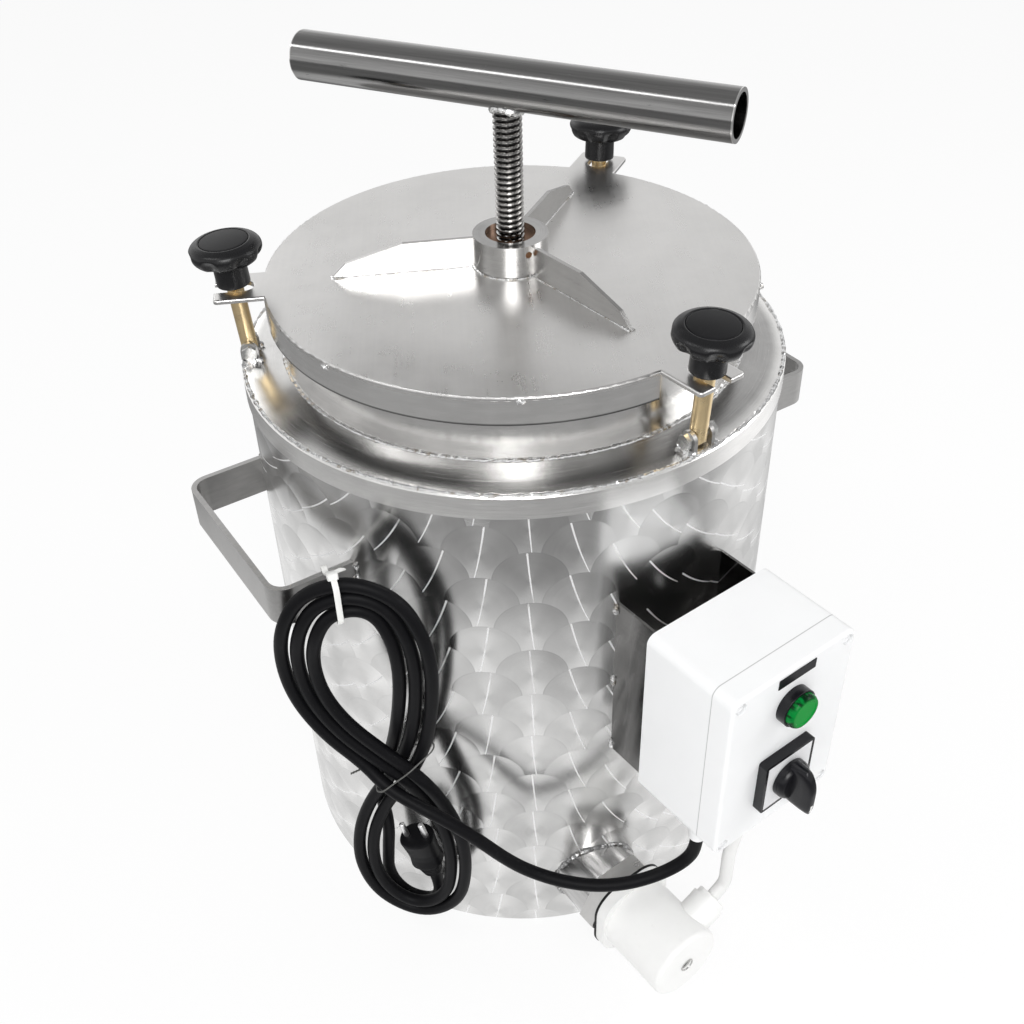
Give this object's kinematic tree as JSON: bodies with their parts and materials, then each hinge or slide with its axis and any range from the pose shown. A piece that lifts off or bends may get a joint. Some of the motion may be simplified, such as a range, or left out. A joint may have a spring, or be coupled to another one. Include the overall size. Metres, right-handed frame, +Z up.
{
  "type": "wax melter",
  "caption": "Floor-standing steel wax melter: jacketed tank, clamped lid with screw press, carrying handles, screw-in heater and control box with a hanging mains cord.",
  "frame": {"origin": "centre of the tank's base on the floor", "axes": "+Z up along the tank; the control box and the heater face -Y, the wax outlet faces +Y"},
  "size_m": [0.5072, 0.591, 0.6618],
  "materials": {
    "stainless": "bright, ground",
    "stainless_satin": "satin",
    "steel_pipe": "mill",
    "screw_steel": "turned, bright",
    "bronze": "turned",
    "brass": "turned",
    "gasket_rubber": "matte",
    "white_plastic": "satin",
    "white_cable": "satin",
    "black_plastic": "satin",
    "knob_plastic": "gloss",
    "green_lens": "gloss",
    "silver_face": "satin",
    "black_rubber": "satin"
  },
  "bodies": {
    "vessel": {"base_plate": "stainless", "basket": "stainless", "box_base": "white_plastic", "box_bracket": "stainless", "box_cover": "white_plastic", "box_glands": "white_plastic", "box_screws": "screw_steel", "clevis_pins": "stainless", "clevises": "stainless", "cord_hank": "black_rubber", "cord_lead": "black_rubber", "cover_seal": "gasket_rubber", "end_screw": "screw_steel", "hank_tie": "white_plastic", "heater_cable": "white_cable", "heater_cover": "white_plastic", "heater_flange": "steel_pipe", "heater_gasket": "gasket_rubber", "heater_gland": "white_plastic", "heater_port": "stainless", "heating_element": "stainless", "inner_pot": "stainless", "label_plate": "black_plastic", "lamp_bezel": "black_plastic", "lamp_body": "black_plastic", "lamp_lens": "green_lens", "left_handle": "stainless_satin", "mains_plug": "black_rubber", "outer_shell": "stainless", "right_handle": "stainless_satin", "shell_back": "stainless", "switch_body": "black_plastic", "switch_face": "silver_face", "switch_frame": "black_plastic", "terminal_block": "white_plastic", "top_cover": "stainless", "waist_tie": "black_plastic", "water_filler": "steel_pipe", "wax_outlet": "steel_pipe"},
    "lid": {"lid_plate": "stainless_satin", "lid_band": "stainless_satin", "lid_gasket": "gasket_rubber", "press_boss": "stainless", "press_nut": "bronze", "boss_ribs": "stainless_satin"},
    "press_plate": {"press_plate": "stainless_satin", "keeper_ring": "stainless_satin", "keeper_screws": "stainless"},
    "press_screw": {"press_screw": "screw_steel", "tee_handle": "steel_pipe"},
    "switch_lever": {"switch_lever": "black_plastic"},
    "swing_bolt_1": {"swing_bolt_1": "brass"},
    "star_knob_1": {"star_knob_1": "knob_plastic", "knob_cap_1": "knob_plastic"},
    "swing_bolt_2": {"swing_bolt_2": "brass"},
    "star_knob_2": {"star_knob_2": "knob_plastic", "knob_cap_2": "knob_plastic"},
    "swing_bolt_3": {"swing_bolt_3": "brass"},
    "star_knob_3": {"star_knob_3": "knob_plastic", "knob_cap_3": "knob_plastic"}
  },
  "joints": [
    {"name": "lid_lift", "type": "slide", "parent": "vessel", "child": "lid", "axis": [0, 0, 1], "range_m": [0, 0.0018]},
    {"name": "press_travel", "type": "slide", "parent": "lid", "child": "press_plate", "axis": [0, 0, 1], "range_m": [-0.085, 0.209]},
    {"name": "press_turn", "type": "hinge", "parent": "press_plate", "child": "press_screw", "pos_m": [0, 0, 0.5], "axis": [0, 0, 1], "range_deg": [-7560, 18720]},
    {"name": "switch_turn", "type": "hinge", "parent": "vessel", "child": "switch_lever", "pos_m": [-0.0117, -0.318, 0.2583], "axis": [0, 1, 0], "range_deg": [0, 90]},
    {"name": "bolt_swing_1", "type": "hinge", "parent": "vessel", "child": "swing_bolt_1", "pos_m": [0.00271, -0.19398, 0.468], "axis": [0.9999, 0.014, 0], "range_deg": [-3.5, 92]},
    {"name": "knob_turn_1", "type": "hinge", "parent": "swing_bolt_1", "child": "star_knob_1", "pos_m": [0.00271, -0.19398, 0.468], "axis": [0.0009, -0.061, 0.9981], "continuous": true},
    {"name": "bolt_swing_2", "type": "hinge", "parent": "vessel", "child": "swing_bolt_2", "pos_m": [0.16664, 0.09934, 0.468], "axis": [-0.512, 0.859, 0], "range_deg": [-3.5, 92]},
    {"name": "knob_turn_2", "type": "hinge", "parent": "swing_bolt_2", "child": "star_knob_2", "pos_m": [0.16664, 0.09934, 0.468], "axis": [0.0524, 0.0313, 0.9981], "continuous": true},
    {"name": "bolt_swing_3", "type": "hinge", "parent": "vessel", "child": "swing_bolt_3", "pos_m": [-0.16935, 0.09465, 0.468], "axis": [-0.4879, -0.8729, 0], "range_deg": [-3.5, 92]},
    {"name": "knob_turn_3", "type": "hinge", "parent": "swing_bolt_3", "child": "star_knob_3", "pos_m": [-0.16935, 0.09465, 0.468], "axis": [-0.0533, 0.0298, 0.9981], "continuous": true}
  ],
  "couplings": [
    {"joint": "press_travel", "follows": "press_turn", "m_per_rad": 0.00063662}
  ]
}
